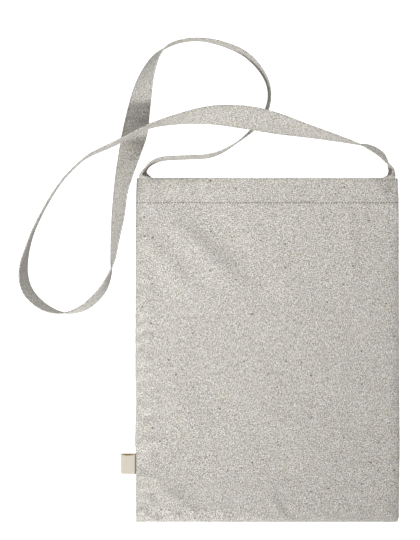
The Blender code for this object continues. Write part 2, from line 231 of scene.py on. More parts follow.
def add_hem(grid, ups, facing):
    """Turns the mouth's edge inwards and runs it back down the inside for the hem's depth."""
    top, below = grid[-1], grid[-2]
    frames = []
    for column, point in enumerate(top):
        towards_mouth = (point - below[column]).normalized()
        sideways = top[min(column + 1, len(top) - 1)] - top[max(column - 1, 0)]
        inwards = towards_mouth.cross(sideways).normalized() * facing
        frames.append((towards_mouth, inwards))
    turned = []
    for step in range(1, HEM_TURN_STEPS + 1):
        angle = math.pi * step / HEM_TURN_STEPS
        turned.append([
            point + inwards * HEM_TURN * (1 - math.cos(angle)) + towards * HEM_TURN * math.sin(angle)
            for point, (towards, inwards) in zip(top, frames)])
    inner = []
    for row in range(len(grid) - 2, -1, -1):
        if ups[-1] - ups[row] > HEM_DEPTH:
            break
        inner.append([point + inwards * 2 * HEM_TURN for point, (_, inwards) in zip(grid[row], frames)])
    return grid + turned + inner


def lengths_along(points):
    lengths = [0.0]
    for start, end in zip(points, points[1:]):
        lengths.append(lengths[-1] + (end - start).length)
    return lengths


def placed(name, data):
    """A new object in the scene from its mesh, light or camera."""
    piece = bpy.data.objects.new(name, data)
    bpy.context.scene.collection.objects.link(piece)
    return piece


def finished_piece(name, mesh, material):
    data = bpy.data.meshes.new(name)
    mesh.to_mesh(data)
    mesh.free()
    data.materials.append(material)
    return placed(name, data)


def smooth_face(mesh, uv, verts, coordinates):
    face = mesh.faces.new(verts)
    face.smooth = True
    for loop, coordinate in zip(face.loops, coordinates):
        loop[uv].uv = coordinate


def cloth_piece(name, grid, thickness, material):
    """A sheet of cloth from rows of points, with its threads' directions kept as UVs in metres."""
    mesh = bmesh.new()
    verts = [[mesh.verts.new(point) for point in row] for row in grid]
    uv = mesh.loops.layers.uv.new("threads")
    middle = len(grid[0]) // 2
    ups = lengths_along([row[middle] for row in grid])
    across = [lengths_along(row) for row in grid]
    for row in range(len(grid) - 1):
        for column in range(len(grid[0]) - 1):
            corners = ((row, column), (row, column + 1), (row + 1, column + 1), (row + 1, column))
            smooth_face(mesh, uv, [verts[r][c] for r, c in corners],
                        [(across[r][c] - across[r][middle], ups[r]) for r, c in corners])
    bmesh.ops.remove_doubles(mesh, verts=mesh.verts, dist=0.000001)
    piece = finished_piece(name, mesh, material)
    solidify = piece.modifiers.new("thickness", "SOLIDIFY")
    solidify.thickness = thickness
    solidify.offset = 0
    solidify.use_even_offset = True
    return piece


# Colours of the yarns, and how the cotton's look changes. Changes and marks are counted in a metre, and each
# pattern has its own start.
HEATHER_DARK = (0.198, 0.181, 0.150)
HEATHER_MIDDLE = (0.430, 0.413, 0.374)
HEATHER_LIGHT = (0.738, 0.721, 0.690)
WARM_YARN = (1.018, 1.00, 0.975)
COOL_YARN = (0.982, 1.00, 1.027)
THREADS = 1 / 0.00075
PANEL_EVENNESS = 0.113
FLECK_SHARE = 0.55
WEAVE_RELIEF = 0.0004

Look = namedtuple("Look", "across along start detail roughness")
LEVEL_YARNS = Look(900, THREADS, 0.3, 1.0, 0.5)
UPRIGHT_YARNS = Look(THREADS, 280, 5.1, 1.0, 0.5)
FLECKS = Look(1000, 800, 2.2, 1.0, 0.5)
WARMTH = Look(260, 260, 9.4, 2.0, 0.6)

# Marks lie in a share of the cells of a pattern and fade out between two distances, in cells.
Marks = namedtuple("Marks", "across along start share solid gone strength colour")
DARK_SPECKS = Marks(95, 110, 7.7, 0.22, 0.10, 0.15, 0.85, (0.110, 0.092, 0.066))
PALE_SLUBS = Marks(24, 120, 3.9, 0.14, 0.04, 0.12, 0.60, (0.700, 0.680, 0.640))


def new_material(name):
    material = bpy.data.materials.new(name)
    material.use_nodes = True
    return material, material.node_tree, material.node_tree.nodes["Principled BSDF"]


def set_sockets(node, values):
    for name, value in values.items():
        node.inputs[name].default_value = value


def thread_places(tree):
    """Place on the cloth in metres: both directions together, then across and along."""
    threads = tree.nodes.new("ShaderNodeUVMap")
    threads.uv_map = "threads"
    split = tree.nodes.new("ShaderNodeSeparateXYZ")
    tree.links.new(threads.outputs["UV"], split.inputs["Vector"])
    return threads.outputs["UV"], split.outputs["X"], split.outputs["Y"]


def stretched(tree, places, across, along, start):
    """Places stretched so that a noise becomes short lengths of yarn."""
    mapping = tree.nodes.new("ShaderNodeMapping")
    set_sockets(mapping, {"Scale": (across, along, 1), "Location": (start, start, start)})
    tree.links.new(places, mapping.inputs["Vector"])
    return mapping.outputs["Vector"]


def noise_level(tree, places, scale, detail, roughness):
    texture = tree.nodes.new("ShaderNodeTexNoise")
    set_sockets(texture, {"Scale": scale, "Detail": detail, "Roughness": roughness})
    tree.links.new(places, texture.inputs["Vector"])
    return texture.outputs["Fac"]


def look_level(tree, uv, look):
    places = stretched(tree, uv, look.across, look.along, look.start)
    return noise_level(tree, places, 1.0, look.detail, look.roughness)


def computed(tree, operation, *values):
    node = tree.nodes.new("ShaderNodeMath")
    node.operation = operation
    for socket, value in zip(node.inputs, values):
        if isinstance(value, (int, float)):
            socket.default_value = value
        else:
            tree.links.new(value, socket)
    return node.outputs[0]


def weighted(tree, first, first_weight, second, second_weight):
    rest = computed(tree, "MULTIPLY", second, second_weight)
    return computed(tree, "MULTIPLY_ADD", first, first_weight, rest)


def faded(tree, value, start, end, at_start, at_end):
    fade = tree.nodes.new("ShaderNodeMapRange")
    set_sockets(fade, {"From Min": start, "From Max": end, "To Min": at_start, "To Max": at_end})
    tree.links.new(value, fade.inputs["Value"])
    return fade.outputs["Result"]


def ramped(tree, value, stops):
    """Colours at (position, colour) stops along a value from 0 to 1."""
    ramp = tree.nodes.new("ShaderNodeValToRGB")
    elements = ramp.color_ramp.elements
    for element, (position, colour) in zip(elements, (stops[0], stops[-1])):
        element.position = position
        element.color = (*colour, 1)
    for position, colour in stops[1:-1]:
        elements.new(position).color = (*colour, 1)
    tree.links.new(value, ramp.inputs["Fac"])
    return ramp.outputs["Color"]


def layered(tree, blend, share, under, over):
    """One colour over another. A share or a colour is either a number or what comes from another node."""
    layer = tree.nodes.new("ShaderNodeMix")
    layer.data_type = "RGBA"
    layer.blend_type = blend
    for name, value in (("Factor", share), ("A", under), ("B", over)):
        if isinstance(value, (float, tuple)):
            layer.inputs[name].default_value = value
        else:
            tree.links.new(value, layer.inputs[name])
    return layer.outputs["Result"]


def mark_level(tree, uv, marks):
    """Strength of small round marks in a share of the cells of a Voronoi pattern."""
    cells = tree.nodes.new("ShaderNodeTexVoronoi")
    cells.inputs["Scale"].default_value = 1.0
    tree.links.new(stretched(tree, uv, marks.across, marks.along, marks.start), cells.inputs["Vector"])
    draw = tree.nodes.new("ShaderNodeSeparateColor")
    tree.links.new(cells.outputs["Color"], draw.inputs["Color"])
    near = faded(tree, cells.outputs["Distance"], marks.solid, marks.gone, at_start=1.0, at_end=0.0)
    chosen = computed(tree, "GREATER_THAN", draw.outputs["Red"], 1.0 - marks.share)
    return computed(tree, "MULTIPLY", computed(tree, "MULTIPLY", near, chosen), marks.strength)


def add_relief(tree, shader, height, strength, distance):
    bump = tree.nodes.new("ShaderNodeBump")
    set_sockets(bump, {"Strength": strength, "Distance": distance})
    tree.links.new(height, bump.inputs["Height"])
    tree.links.new(bump.outputs["Normal"], shader.inputs["Normal"])


def scaled(colour, factor):
    return tuple(channel * factor for channel in colour)


def heathered_cotton(name, tone, evenness):
    """Plain-woven cotton of mixed recycled yarn. Tone scales its colours, and evenness is how little the
    yarns differ."""
    material, tree, shader = new_material(name)
    uv, *directions = thread_places(tree)
    sines = [computed(tree, "SINE", computed(tree, "MULTIPLY", direction, math.pi * THREADS))
             for direction in directions]
    crossing = computed(tree, "MULTIPLY", *sines)
    upright_on_top = faded(tree, crossing, start=-0.2, end=0.2, at_start=0.0, at_end=1.0)
    level = look_level(tree, uv, LEVEL_YARNS)
    upright = look_level(tree, uv, UPRIGHT_YARNS)
    yarns = computed(tree, "MULTIPLY_ADD", upright_on_top, computed(tree, "SUBTRACT", upright, level), level)
    heather = weighted(tree, yarns, 1 - FLECK_SHARE, look_level(tree, uv, FLECKS), FLECK_SHARE)

    colour = ramped(tree, heather, [(0.5 - evenness, scaled(HEATHER_DARK, tone)),
                                    (0.5, scaled(HEATHER_MIDDLE, tone)),
                                    (0.5 + evenness, scaled(HEATHER_LIGHT, tone))])
    warmth = ramped(tree, look_level(tree, uv, WARMTH), [(0.38, COOL_YARN), (0.62, WARM_YARN)])
    colour = layered(tree, "MULTIPLY", 1.0, colour, warmth)
    for marks in (DARK_SPECKS, PALE_SLUBS):
        colour = layered(tree, "MIX", mark_level(tree, uv, marks), colour, (*marks.colour, 1))
    tree.links.new(colour, shader.inputs["Base Color"])

    relief = weighted(tree, computed(tree, "ABSOLUTE", crossing), 0.4, heather, 0.9)
    add_relief(tree, shader, relief, strength=0.5, distance=WEAVE_RELIEF)
    set_sockets(shader, {"Roughness": 0.92, "Specular IOR Level": 0.2, "Sheen Weight": 0.12,
                         "Sheen Roughness": 0.5})
    return material


cotton = heathered_cotton("heathered cotton", 1.0, PANEL_EVENNESS)
front = Panel("front_panel_cloth", front_crown, 1, FRONT_SHOULDER, front_bottom, columns=134, rows=180,
              edge_steps=10)
front_grid, front_ups = panel_grid(front)
front_cloth = cloth_piece(front.name, add_hem(front_grid, front_ups, front.facing), COTTON, cotton)
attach(front_cloth, "root")
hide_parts("front_panel")


# One row of darker stitches holds the hem at the mouth. Each stitch is a short length of thread whose ends go
# down into the cloth.
STITCH_FROM_MOUTH = 0.0306
HEM_STITCH_PITCH = 0.00345
HEM_STITCH_LENGTH = 0.0019
HEM_THREAD = 0.00105
DARK_THREAD = (0.078, 0.060, 0.034)
THREAD_SIDES = 5
THREAD_RINGS = 4
THREAD_END_SHARE = 0.6
THREAD_BOW = 0.45
THREAD_FIBRES = 2600
THREAD_RELIEF = 0.0001
SEAM_COLUMNS = 3

Spot = namedtuple("Spot", "place along away")


def spots_along(points, normals, pitch):
    """Evenly spaced places on a line over the cloth, with the line's direction and the way out."""
    spots = []
    lengths = lengths_along(points)
    wanted = pitch / 2
    for index in range(len(points) - 1):
        length = lengths[index + 1] - lengths[index]
        while length > 0 and lengths[index + 1] >= wanted:
            share = (wanted - lengths[index]) / length
            along = (points[index + 1] - points[index]).normalized()
            away = normals[index].lerp(normals[index + 1], share)
            away = (away - along * away.dot(along)).normalized()
            spots.append(Spot(points[index].lerp(points[index + 1], share), along, away))
            wanted += pitch
    return spots


def thread_material(name, colour):
    material, tree, shader = new_material(name)
    place = tree.nodes.new("ShaderNodeTexCoord").outputs["Object"]
    fibres = noise_level(tree, place, THREAD_FIBRES, detail=2.0, roughness=0.6)
    shades = ramped(tree, fibres, [(0.35, scaled(colour, 0.65)), (0.65, scaled(colour, 1.35))])
    tree.links.new(shades, shader.inputs["Base Color"])
    add_relief(tree, shader, fibres, strength=0.4, distance=THREAD_RELIEF)
    set_sockets(shader, {"Roughness": 0.7})
    return material


def stitches(name, spots, length, thickness, material):
    """Short bowed threads, thinner at their ends."""
    verts, faces = [], []
    for spot in spots:
        sideways = spot.along.cross(spot.away)
        first = len(verts)
        for ring in range(THREAD_RINGS):
            share = ring / (THREAD_RINGS - 1)
            bow = math.sin(math.pi * share)
            radius = thickness / 2 * mix(THREAD_END_SHARE, 1.0, bow)
            middle = spot.place + spot.along * length * (share - 0.5)
            middle += spot.away * thickness * THREAD_BOW * (bow - 0.5)
            for side in range(THREAD_SIDES):
                angle = 2 * math.pi * side / THREAD_SIDES
                verts.append(middle + (sideways * math.cos(angle) + spot.away * math.sin(angle)) * radius)
        for ring in range(THREAD_RINGS - 1):
            for side in range(THREAD_SIDES):
                here = first + ring * THREAD_SIDES + side
                after = first + ring * THREAD_SIDES + (side + 1) % THREAD_SIDES
                faces.append((after, here, here + THREAD_SIDES, after + THREAD_SIDES))
        faces.append([first + side for side in range(THREAD_SIDES)])
        faces.append([first + THREAD_RINGS * THREAD_SIDES - 1 - side for side in range(THREAD_SIDES)])
    data = bpy.data.meshes.new(name)
    data.from_pydata(verts, [], faces)
    data.shade_smooth()
    data.materials.append(material)
    return placed(name, data)


def hem_line():
    """Points on the front's outer face along the row of stitches, from seam to seam, with the ways out."""
    wanted = PANEL_HEIGHT - STITCH_FROM_MOUTH
    row = min(range(len(front_ups)), key=lambda index: abs(wanted - front_ups[index]))
    points, normals = [], []
    for column in range(SEAM_COLUMNS, len(front_grid[row]) - SEAM_COLUMNS):
        along = front_grid[row][column + 1] - front_grid[row][column - 1]
        up = front_grid[row + 1][column] - front_grid[row - 1][column]
        away = along.cross(up).normalized()
        points.append(front_grid[row][column] + away * COTTON / 2)
        normals.append(away)
    return points, normals


hem_spots = spots_along(*hem_line(), HEM_STITCH_PITCH)
hem_stitches = stitches("hem_stitches", hem_spots, HEM_STITCH_LENGTH, HEM_THREAD,
                        thread_material("dark sewing thread", DARK_THREAD))
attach(hem_stitches, "root")


# The back is one piece of the same cotton, cut and hemmed like the front. It lies flat on the table, and its
# edges turn up to the seams.
BACK_SHOULDER = 0.007


def back_crown(across, up):
    return COTTON / 2


def back_bottom(across):
    return BACK_SHOULDER


back = Panel("back_panel_cloth", back_crown, -1, BACK_SHOULDER, back_bottom, columns=60, rows=90,
             edge_steps=8)
back_grid, back_ups = panel_grid(back)
back_cloth = cloth_piece(back.name, add_hem(back_grid, back_ups, back.facing), COTTON, cotton)
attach(back_cloth, "root")
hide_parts("back_panel")


# The shoulder strap is a folded cotton band, stitched along both edges. Each end is folded in half lengthwise
# and sewn in between the hems at a corner of the mouth. It lies mostly on its edge, in two loops, and crosses
# over itself twice.
STRAP_WIDTH = 0.032
STRAP_THICKNESS = 0.0019
STRAP_LEG_GAP = 0.0009
STRAP_SEWN_IN = 0.030
STRAP_INSET = 0.0043
STRAP_TURN = 0.030
STRAP_LIFT = 0.0026
STRAP_EXIT = 0.0001
STRAP_OFF_TABLE = 0.0001
STRAP_OPENED = 0.080
STRAP_STEP = 0.0028
STRAP_COLUMNS = 24
COLUMN_CROWDING = 1.35
FLAT_BEND = 0.6
SHUT_FOLD_RISE = 0.65
EDGE_ROUNDING = 0.0009
STITCH_FROM_EDGE = 0.0021
GROOVE_DEPTH = 0.00016
GROOVE_WIDTH = 0.0007
STRAP_STITCH_PITCH = 0.0030
STRAP_STITCH_LENGTH = 0.0023
STRAP_THREAD = 0.00045
STRAP_TONE = 0.93
OTHER_FACE_START = 2.0
STRAP_EVENNESS = 0.115
GREY_THREAD = (0.230, 0.212, 0.180)

# The sewn-in end, folded shut: depths below the mouth, and slopes of the band's two halves in degrees.
SewnStop = namedtuple("SewnStop", "depth back_lean front_lean")
SEWN_IN_END = (
    SewnStop(STRAP_SEWN_IN, 2, 178),
    SewnStop(STRAP_SEWN_IN / 2, 3, 176),
    SewnStop(0.0015, 8, 167),
    SewnStop(-STRAP_EXIT, 15, 157),
)

# Middle line of the strap from the left corner of the mouth to the right one: place as shares of the pouch's
# width from its left side and of its height over the mouth, slopes of the band's two halves in degrees, 90 on
# edge, and the height of its lowest edge as a share of its width.
Stop = namedtuple("Stop", "across above back_lean front_lean lift")
STRAP_ROUTE = (
    Stop(0.0158, 0.0026, 22, 132, 0.08),
    Stop(0.0163, 0.0055, 34, 112, 0.07),
    Stop(0.0182, 0.0096, 50, 100, 0.07),
    Stop(0.0265, 0.018, 73, 93, 0.05),
    Stop(0.038, 0.029, 82, 92, 0.03),
    Stop(0.051, 0.039, 84, 88, 0.01),
    Stop(0.070, 0.048, 84, 86, 0.00),
    Stop(0.100, 0.055, 84, 84, 0.00),
    Stop(0.180, 0.059, 84, 84, 0.00),
    Stop(0.272, 0.063, 84, 84, 0.00),
    Stop(0.320, 0.074, 86, 86, 0.00),
    Stop(0.398, 0.110, 92, 92, 0.00),
    Stop(0.455, 0.149, 97, 97, 0.00),
    Stop(0.492, 0.188, 97, 97, 0.00),
    Stop(0.507, 0.228, 95, 95, 0.00),
    Stop(0.503, 0.270, 95, 95, 0.00),
    Stop(0.481, 0.307, 96, 96, 0.00),
    Stop(0.442, 0.343, 98, 98, 0.00),
    Stop(0.398, 0.368, 98, 98, 0.00),
    Stop(0.307, 0.394, 96, 96, 0.00),
    Stop(0.230, 0.402, 93, 93, 0.00),
    Stop(0.162, 0.395, 93, 93, 0.00),
    Stop(0.116, 0.380, 90, 90, 0.00),
    Stop(0.078, 0.353, 76, 76, 0.00),
    Stop(0.040, 0.294, 55, 55, 0.00),
    Stop(0.021, 0.238, 36, 36, 0.00),
    Stop(0.009, 0.189, 24, 24, 0.00),
    Stop(-0.004, 0.133, 9, 9, 0.00),
    Stop(-0.022, 0.080, 27, 27, 0.00),
    Stop(-0.055, -0.026, 54, 54, 0.00),
    Stop(-0.068, -0.110, 60, 60, 0.00),
    Stop(-0.080, -0.182, 71, 71, 0.00),
    Stop(-0.088, -0.240, 81, 81, 0.00),
    Stop(-0.095, -0.270, 92, 92, 0.00),
    Stop(-0.121, -0.318, 104, 104, 0.00),
    Stop(-0.156, -0.351, 106, 106, 0.00),
    Stop(-0.202, -0.378, 102, 102, 0.00),
    Stop(-0.272, -0.392, 90, 90, 0.00),
    Stop(-0.350, -0.374, 75, 75, 0.00),
    Stop(-0.411, -0.328, 69, 69, 0.00),
    Stop(-0.428, -0.275, 72, 72, 0.00),
    Stop(-0.408, -0.193, 84, 84, 0.00),
    Stop(-0.366, -0.115, 88, 88, 0.00),
    Stop(-0.281, -0.009, 90, 90, 0.00),
    Stop(-0.205, 0.050, 90, 90, 0.00),
    Stop(-0.173, 0.067, 87, 87, 0.01),
    Stop(-0.090, 0.096, 84, 84, 0.08),
    Stop(-0.021, 0.123, 84, 84, 0.23),
    Stop(0.048, 0.148, 83, 83, 0.38),
    Stop(0.170, 0.171, 67, 67, 0.51),
    Stop(0.291, 0.181, 44, 44, 0.76),
    Stop(0.417, 0.174, 25, 25, 1.05),
    Stop(0.512, 0.160, 31, 31, 1.05),
    Stop(0.646, 0.136, 60, 60, 0.61),
    Stop(0.779, 0.112, 80, 80, 0.16),
    Stop(0.842, 0.099, 90, 90, 0.02),
    Stop(0.878, 0.092, 99, 99, 0.00),
    Stop(0.908, 0.081, 104, 104, 0.00),
    Stop(0.934, 0.067, 104, 104, 0.00),
    Stop(0.957, 0.044, 93, 97, 0.01),
    Stop(0.969, 0.034, 78, 94, 0.03),
    Stop(0.979, 0.023, 68, 99, 0.05),
    Stop(0.983, 0.011, 56, 108, 0.07),
    Stop(0.984, 0.005, 46, 122, 0.08),
)


def strap_stops():
    """The whole route as (x, y, back lean, front lean, lift), with the sewn-in ends."""
    mouth = BAG_HEIGHT / 2
    left = -BAG_WIDTH / 2 + STRAP_INSET + STRAP_THICKNESS / 2
    stops = [(left, mouth - end.depth, end.back_lean, end.front_lean, STRAP_LIFT) for end in SEWN_IN_END]
    for stop in STRAP_ROUTE:
        x = (stop.across - 0.5) * BAG_WIDTH
        y = mouth + stop.above * BAG_HEIGHT
        stops.append((x, y, stop.back_lean, stop.front_lean, stop.lift * STRAP_WIDTH))
    stops += [(-left, mouth - end.depth, end.back_lean, end.front_lean, STRAP_LIFT)
              for end in reversed(SEWN_IN_END)]
    return stops


def curve_values(four, knots, place):
    """Catmull-Rom values between the middle two of four stops."""
    layer = [list(stop) for stop in four]
    for lows, highs in (((0, 1, 2), (1, 2, 3)), ((0, 1), (2, 3)), ((1,), (2,))):
        narrowed = []
        for index, (low, high) in enumerate(zip(lows, highs)):
            share = (place - knots[low]) / (knots[high] - knots[low])
            narrowed.append([mix(start, end, share) for start, end in zip(layer[index], layer[index + 1])])
        layer = narrowed
    return layer[0]


def smooth_route(stops, step):
    """A smooth line through the stops, whose leans and lifts stay between those of the stops around them."""
    first = [2 * near - far for near, far in zip(stops[0], stops[1])]
    last = [2 * near - far for near, far in zip(stops[-1], stops[-2])]
    padded = [first, *stops, last]
    route = []
    for index in range(len(stops) - 1):
        four = padded[index:index + 4]
        knots = [0.0]
        for start, end in zip(four, four[1:]):
            knots.append(knots[-1] + math.sqrt(math.dist(start[:2], end[:2])))
        pieces = max(2, math.ceil(math.dist(four[1][:2], four[2][:2]) / step))
        for piece in range(pieces):
            values = curve_values(four, knots, mix(knots[1], knots[2], piece / pieces))
            held = [min(max(value, min(low, high)), max(low, high))
                    for value, low, high in zip(values[2:], four[1][2:], four[2][2:])]
            route.append(values[:2] + held)
    route.append(list(stops[-1]))
    return route


def strap_outwards(route, index):
    """Level direction across the strap, to the left of its route, turned along the mouth when close to it."""
    before = route[max(index - 1, 0)]
    after = route[min(index + 1, len(route) - 1)]
    forward = Vector((after[0] - before[0], after[1] - before[1], 0)).normalized()
    if min(index, len(route) - 1 - index) < len(route) / 4:
        leaving = 1 if index < len(route) / 2 else -1
        turned = smooth_share(route[index][1] - BAG_HEIGHT / 2, 0, STRAP_TURN)
        forward = Vector((0, leaving, 0)).lerp(forward, turned).normalized()
    return Vector((-forward.y, forward.x, 0))


def strap_width_points(back_lean, front_lean):
    """The band's middle surface across its width, as (outwards, up), with its lowest point."""
    middle = (back_lean + front_lean) / 2
    opening = (front_lean - back_lean) / 2
    shut_bend = (STRAP_THICKNESS + STRAP_LEG_GAP) / SHUT_FOLD_RISE
    bend = mix(FLAT_BEND * STRAP_WIDTH, shut_bend, abs(opening) / 90)
    halves = []
    lowest = 0.0
    steps = STRAP_COLUMNS // 2
    for side in (-1, 1):
        out, up, gone = 0.0, 0.0, 0.0
        half = []
        for step in range(1, steps + 1):
            reach = STRAP_WIDTH / 2 * (1 - (1 - step / steps) ** COLUMN_CROWDING)
            half_way = (gone + reach) / 2
            share = min(half_way / (bend / 2), 1.0)
            lean = math.radians(middle + side * opening * math.sin(share * math.pi / 2))
            out += side * (reach - gone) * math.cos(lean)
            up += side * (reach - gone) * math.sin(lean)
            gone = reach
            half.append((out, up, side * reach))
            lowest = min(lowest, up - STRAP_THICKNESS / 2 * abs(math.cos(lean)))
        halves.append(half)
    back, front = halves
    return back[::-1] + [(0.0, 0.0, 0.0)] + front, lowest


def strap_half_thickness(across):
    """Rounded folded edges, and a shallow groove where each row of stitches pulls the layers together."""
    from_edge = STRAP_WIDTH / 2 - abs(across)
    rounded = math.sqrt(max(0.0, 1 - (1 - min(from_edge / EDGE_ROUNDING, 1.0)) ** 2))
    groove = GROOVE_DEPTH * math.exp(-((from_edge - STITCH_FROM_EDGE) / GROOVE_WIDTH) ** 2)
    return STRAP_THICKNESS / 2 * rounded - groove


route = smooth_route(strap_stops(), STRAP_STEP)
strap_rows = []
for index, (x, y, back_lean, front_lean, lift) in enumerate(route):
    outwards = strap_outwards(route, index)
    points, lowest = strap_width_points(back_lean, front_lean)
    height = max(lift, STRAP_OFF_TABLE) - lowest
    strap_rows.append([(Vector((x, y, height + up)) + outwards * out, across) for out, up, across in points])

strap_lengths = [0.0]
for start, end in zip(route, route[1:]):
    strap_lengths.append(strap_lengths[-1] + math.dist(start[:2], end[:2]))


def strap_normal(row, column):
    along = strap_rows[min(row + 1, len(strap_rows) - 1)][column][0] - strap_rows[max(row - 1, 0)][column][0]
    last = len(strap_rows[row]) - 1
    across = strap_rows[row][min(column + 1, last)][0] - strap_rows[row][max(column - 1, 0)][0]
    return along.cross(across).normalized()


def thread_lengths(column):
    """Lengths along the strap. Near its ends each column is measured on its own, so that the weave isn't
    stretched where the fold opens."""
    own = lengths_along([points[column][0] for points in strap_rows])
    last_row = len(strap_rows) - 1
    opened = next(row for row, length in enumerate(strap_lengths) if length > STRAP_OPENED)
    lengths = []
    for row in range(last_row + 1):
        near = min(max(row, opened), last_row - opened)
        lengths.append(strap_lengths[near] + own[row] - own[near])
    return lengths


def strap_mesh(name, material):
    mesh = bmesh.new()
    uv = mesh.loops.layers.uv.new("threads")
    columns = len(strap_rows[0])
    reaches = [across for _, across in strap_rows[0]]
    rings = []
    for row, points in enumerate(strap_rows):
        upper, lower = [], []
        for column, (point, across) in enumerate(points):
            if column in (0, columns - 1):
                vert = mesh.verts.new(point)
                upper.append(vert)
                lower.append(vert)
                continue
            offset = strap_normal(row, column) * strap_half_thickness(across)
            upper.append(mesh.verts.new(point + offset))
            lower.append(mesh.verts.new(point - offset))
        rings.append((upper, lower))
    threads = [thread_lengths(column) for column in range(columns)]
    for row in range(len(rings) - 1):
        for side in (0, 1):
            for column in range(columns - 1):
                corners = [(row, column), (row, column + 1), (row + 1, column + 1), (row + 1, column)]
                if side == 0:
                    corners.reverse()
                smooth_face(mesh, uv, [rings[r][side][c] for r, c in corners],
                            [(reaches[c], threads[c][r] + side * OTHER_FACE_START) for r, c in corners])
    for upper, lower in (rings[0], rings[-1]):
        mesh.faces.new(upper + lower[-2:0:-1])
    bmesh.ops.recalc_face_normals(mesh, faces=mesh.faces)
    return finished_piece(name, mesh, material)


def strap_stitch_line(edge, face):
    """Points along one row of stitches. Edge is -1 for the back edge or 1, face is -1 for underneath or 1."""
    wanted = edge * (STRAP_WIDTH / 2 - STITCH_FROM_EDGE)
    reaches = [across for _, across in strap_rows[0]]
    column = max(index for index, reach in enumerate(reaches) if reach <= wanted)
    share = (wanted - reaches[column]) / (reaches[column + 1] - reaches[column])
    points, normals = [], []
    for row, row_points in enumerate(strap_rows):
        away = strap_normal(row, column).lerp(strap_normal(row, column + 1), share).normalized() * face
        middle = row_points[column][0].lerp(row_points[column + 1][0], share)
        points.append(middle + away * strap_half_thickness(wanted))
        normals.append(away)
    return points, normals


strap = strap_mesh("shoulder_strap", heathered_cotton("strap cotton", STRAP_TONE, STRAP_EVENNESS))
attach(strap, "root")
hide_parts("strap")
strap_spots = []
for edge in (-1, 1):
    for face in (-1, 1):
        strap_spots += spots_along(*strap_stitch_line(edge, face), STRAP_STITCH_PITCH)
strap_stitches = stitches("strap_stitches", strap_spots, STRAP_STITCH_LENGTH, STRAP_THREAD,
                          thread_material("grey sewing thread", GREY_THREAD))
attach(strap_stitches, "root")


# A small loop of woven ribbon is caught in the left seam, folded at its outer end. Its face is plain and its
# inside is ochre. A strip of painted shade darkens it where it goes into the seam, standing in for the seam's
# shadow.
LABEL_OUT = 0.0192
LABEL_HEIGHT = 0.026
LABEL_UP = 0.073
LABEL_THICKNESS = 0.0007
LABEL_LOFT = 0.004
LABEL_SET_OUT = 0.0002
LABEL_DIP = 0.0021
LABEL_FOLD_ROUNDING = 0.0014
LABEL_ROUNDED_SHARE = 0.10
LABEL_STEPS = 12
LABEL_ROWS = 12
RIBBON_FACE = (0.515, 0.480, 0.406)
RIBBON_BACK = (0.420, 0.235, 0.070)
RIBBON_BORDER = (0.420, 0.380, 0.310)
RIBBON_PAINTED_SHADE = (0.110, 0.105, 0.095)
BORDER_WIDTH = 0.0028
PAINTED_SHADE_WIDTH = 0.0014
RIB_PITCH = 0.0005
RIB_RELIEF = 0.0001
RIBBON_WEAVE = Look(500, 1500, 0.4, 2.0, 0.5)


def ribbon_material():
    material, tree, shader = new_material("woven ribbon")
    uv, from_seam, over = thread_places(tree)
    shades = [(0.3, scaled(RIBBON_FACE, 0.93)), (0.7, scaled(RIBBON_FACE, 1.05))]
    face = ramped(tree, look_level(tree, uv, RIBBON_WEAVE), shades)
    # A border of the ribbon's own colour runs by the seam. Closest to the seam, a strip of painted shade
    # stands in for the shadow where the ribbon goes in.
    for width, colour in ((BORDER_WIDTH, RIBBON_BORDER), (PAINTED_SHADE_WIDTH, RIBBON_PAINTED_SHADE)):
        face = layered(tree, "MIX", computed(tree, "LESS_THAN", from_seam, width), face, (*colour, 1))
    inside = computed(tree, "GREATER_THAN", over, OTHER_FACE_START / 2)
    tree.links.new(layered(tree, "MIX", inside, face, (*RIBBON_BACK, 1)), shader.inputs["Base Color"])
    ribs = tree.nodes.new("ShaderNodeTexWave")
    ribs.bands_direction = "X"
    ribs.inputs["Scale"].default_value = math.pi / 10 / RIB_PITCH
    tree.links.new(uv, ribs.inputs["Vector"])
    add_relief(tree, shader, ribs.outputs["Fac"], strength=0.4, distance=RIB_RELIEF)
    set_sockets(shader, {"Roughness": 0.7, "Sheen Weight": 0.1})
    return material


def label_line():
    """The ribbon's middle line as (x, z), from the seam over the top, round the fold and back underneath."""
    seam_x = -BAG_WIDTH / 2 + side_inset(-1, LABEL_UP) - LABEL_SET_OUT
    turn = (LABEL_LOFT - LABEL_THICKNESS) / 2
    fold_x = -BAG_WIDTH / 2 - LABEL_OUT + LABEL_THICKNESS / 2 + turn
    end_gap = (LABEL_THICKNESS + LAYER_GAP) / 2

    def leg(step, seam_z, fold_z):
        share = step / LABEL_STEPS
        return mix(seam_x, fold_x, share), mix(seam_z, fold_z, smooth_share(share, 0.0, 0.8))

    line = [leg(step, SEAM_HEIGHT + end_gap, LABEL_LOFT - LABEL_THICKNESS / 2) for step in range(LABEL_STEPS)]
    for step in range(LABEL_STEPS + 1):
        angle = math.pi * step / LABEL_STEPS
        line.append((fold_x - turn * math.sin(angle), LABEL_LOFT / 2 + turn * math.cos(angle)))
    line += [leg(step, SEAM_HEIGHT - end_gap, LABEL_THICKNESS / 2) for step in range(LABEL_STEPS - 1, -1, -1)]
    return line


